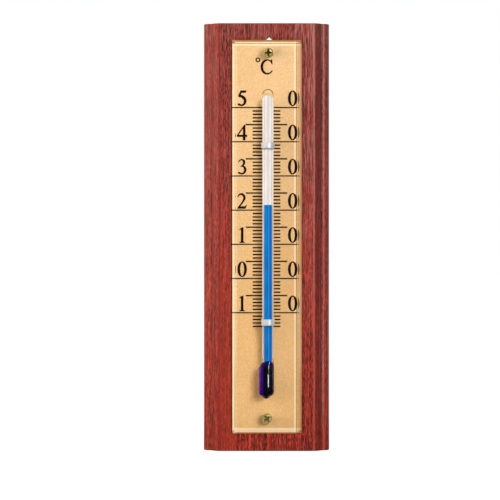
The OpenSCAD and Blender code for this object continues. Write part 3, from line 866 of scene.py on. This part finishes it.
def plate_screws(brass):
    head = screw_head()
    first, last = [(box_middle(node).x, 0, box_middle(node).z) for node in SCREWS]
    first_turn, last_turn = [math.radians(-turn) for turn, _ in SCREWS.values()]
    both = grown("plate_screws", screws_tree(), {
        "Screw": head,
        "First place": first,
        "Last place": last,
        "First turn": first_turn,
        "Last turn": last_turn,
        "Brass": brass})
    bpy.data.objects.remove(head)
    return both


def build_object():
    place_piece(finished_copy("back_board", "wooden_board"), "instrument",
                ["back_board"], stained_wood())
    place_piece(finished_copy("gold_foil", "sheet_of_gold_foil"), "instrument",
                ["gold_foil"], gold_foil())
    place_piece(finished_copy("scale_plate", "clear_bevelled_plate", bevel=0.05 * MM), "instrument",
                ["scale_plate"], clear("clear_sheet", (0.99, 0.995, 0.99), 1.49))
    ink = scale_ink()
    lines = ruled_lines_tree()
    for piece in (ruled_lines(lines, -1, ink), ruled_lines(lines, 1, ink), printed_figures()):
        place_piece(piece, "instrument", ["scale_markings"], ink)
    place_piece(glass_tube(), "instrument", ["glass_tube"],
                clear("tube_glass", (0.985, 0.995, 0.99), 1.5, coat_below=SHOULDER_Z,
                      rim_above=TUBE_HIGH.z - 1.9 * MM))
    place_piece(spirit_pool(), "instrument", ["spirit_reservoir"], bulb_spirit())
    thread = place_piece(spirit_column(), None, ["spirit_thread", "spirit_top"],
                         thread_spirit())
    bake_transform(thread)
    place_piece(enamel_band(), "instrument",
                ["enamel_strip"], white_enamel())
    strip = clip_strip()
    for node in ("tube_clip_upper", "tube_clip_lower"):
        place_piece(finished_copy(node, node + "_strip", bevel=0.03 * MM), "instrument",
                    [node], strip)
    brass = screw_brass()
    place_piece(plate_screws(brass), "instrument", list(SCREWS), brass)


def towards(place, target):
    return (Vector(target) - Vector(place)).to_track_quat("-Z", "Y").to_euler()


def at_angle(right, up, distance):
    """A place seen from the object at these angles from the camera's side."""
    a, e = math.radians(right), math.radians(up)
    return (distance * math.sin(a) * math.cos(e), FRONT_Y - distance * math.cos(a) * math.cos(e),
            distance * math.sin(e))


def lamp(name, right, up, distance, width, height, radiance, colour=(1, 1, 1), mirrored=True):
    """A soft rectangular lamp; its power follows from how bright its face is."""
    light = bpy.data.lights.new(name, "AREA")
    light.shape = "RECTANGLE"
    light.size = width
    light.size_y = height
    light.energy = radiance * math.pi * width * height
    light.color = colour
    made = bpy.data.objects.new(name, light)
    made.location = at_angle(right, up, distance)
    made.rotation_euler = towards(made.location, (0, FRONT_Y, 0))
    made.visible_transmission = False
    made.visible_glossy = mirrored
    bpy.context.scene.collection.objects.link(made)


def sees_background(tree):
    """1 for rays that show the background: the camera's, mirrored and refracted ones."""
    def ray(name):
        return tree.node("ShaderNodeLightPath", out=name)
    total = ray("Is Camera Ray") + ray("Is Glossy Ray") + ray("Is Transmission Ray")
    return total.clamped()


def pale_floor():
    """A white floor that keeps the object's shadow; near the object it fades out of reflections."""
    floor = Finish("pale_floor")
    near = FRONT_Y - 140 * MM
    far = 3.0
    bent = floor.node("ShaderNodeLightPath", out="Is Glossy Ray")
    bent = (bent + floor.node("ShaderNodeLightPath", out="Is Transmission Ray")).clamped()
    faded = bent * floor.axis("Y").step(FRONT_Y + 120 * MM, FRONT_Y + 40 * MM)
    matt = floor.node("ShaderNodeBsdfDiffuse", inputs={
        "Color": floor.mix((0.82, 0.82, 0.82), (0.02, 0.02, 0.02), faded)})
    glow = floor.node("ShaderNodeEmission", inputs={
        "Color": floor.mix((1.0, 1.0, 1.0), (0.03, 0.03, 0.03), faded), "Strength": FLOOR_GLOW})
    material = floor.done(floor.node("ShaderNodeMixShader", inputs={
        0: sees_background(floor) * 0.93, 1: matt, 2: glow}))
    mesh = bpy.data.meshes.new("floor")
    mesh.from_pydata([(-far, near, BOARD_LOW.z), (far, near, BOARD_LOW.z),
                      (far, far, BOARD_LOW.z), (-far, far, BOARD_LOW.z)], [], [(0, 1, 2, 3)])
    mesh.materials.append(material)
    bare("floor", mesh)


def studio():
    # The softbox stands high enough that the stem doesn't mirror it; the window draws the line of
    # light on the bulb.
    lamp("softbox_right", right=26, up=16, distance=0.95, width=0.3, height=0.14, radiance=20.2)
    lamp("window_right", right=28, up=-6, distance=0.95, width=0.06, height=0.04, radiance=60)
    lamp("reflector_left", right=-48, up=2, distance=0.85, width=0.85, height=0.8, radiance=5.2,
         colour=WARM, mirrored=False)
    world = bpy.data.worlds.new("studio")
    bpy.context.scene.world = world
    world.use_nodes = True
    sky = Tree(world.node_tree)
    sky.nodes.clear()
    way = sky.node("ShaderNodeTexCoord", out="Generated")
    back = sky.node("ShaderNodeSeparateXYZ", inputs={"Vector": way}, out="Y")

    # Mirrored rays that leave towards the camera's side meet a dim room, others the white background.
    room = 0.05 + 0.12 * back.step(-0.95, -0.35)
    around = room + (1 - room) * back.step(0.3, 0.8)
    straight = sky.node("ShaderNodeLightPath", out="Is Camera Ray")
    seen = straight + (1 - straight) * around
    shown = sees_background(sky)
    strength = shown * seen + (1 - shown) * ROOM_LIGHT
    tint = sky.node("ShaderNodeMix", {"data_type": "RGBA"}, {
        "Factor_Float": shown, "A_Color": (*WARM, 1), "B_Color": (1, 1, 1, 1)}, out="Result_Color")
    light = sky.node("ShaderNodeBackground", inputs={"Color": tint, "Strength": strength})
    sky.node("ShaderNodeOutputWorld", inputs={"Surface": light})


def camera():
    lens = bpy.data.cameras.new("camera")
    lens.sensor_width = SENSOR
    lens.lens = SENSOR * CAMERA_DISTANCE / VIEW_WIDTH
    lens.shift_x = SHIFT_RIGHT
    lens.shift_y = SHIFT_UP
    lens.clip_start = 0.01
    lens.dof.use_dof = False
    made = bpy.data.objects.new("camera", lens)
    made.location = (0, FRONT_Y - CAMERA_DISTANCE, 0)
    made.rotation_euler = (math.pi / 2, 0, 0)
    bpy.context.scene.collection.objects.link(made)
    bpy.context.scene.camera = made


camera()
build_object()
pale_floor()
studio()
bpy.context.scene.view_settings.view_transform = "Standard"
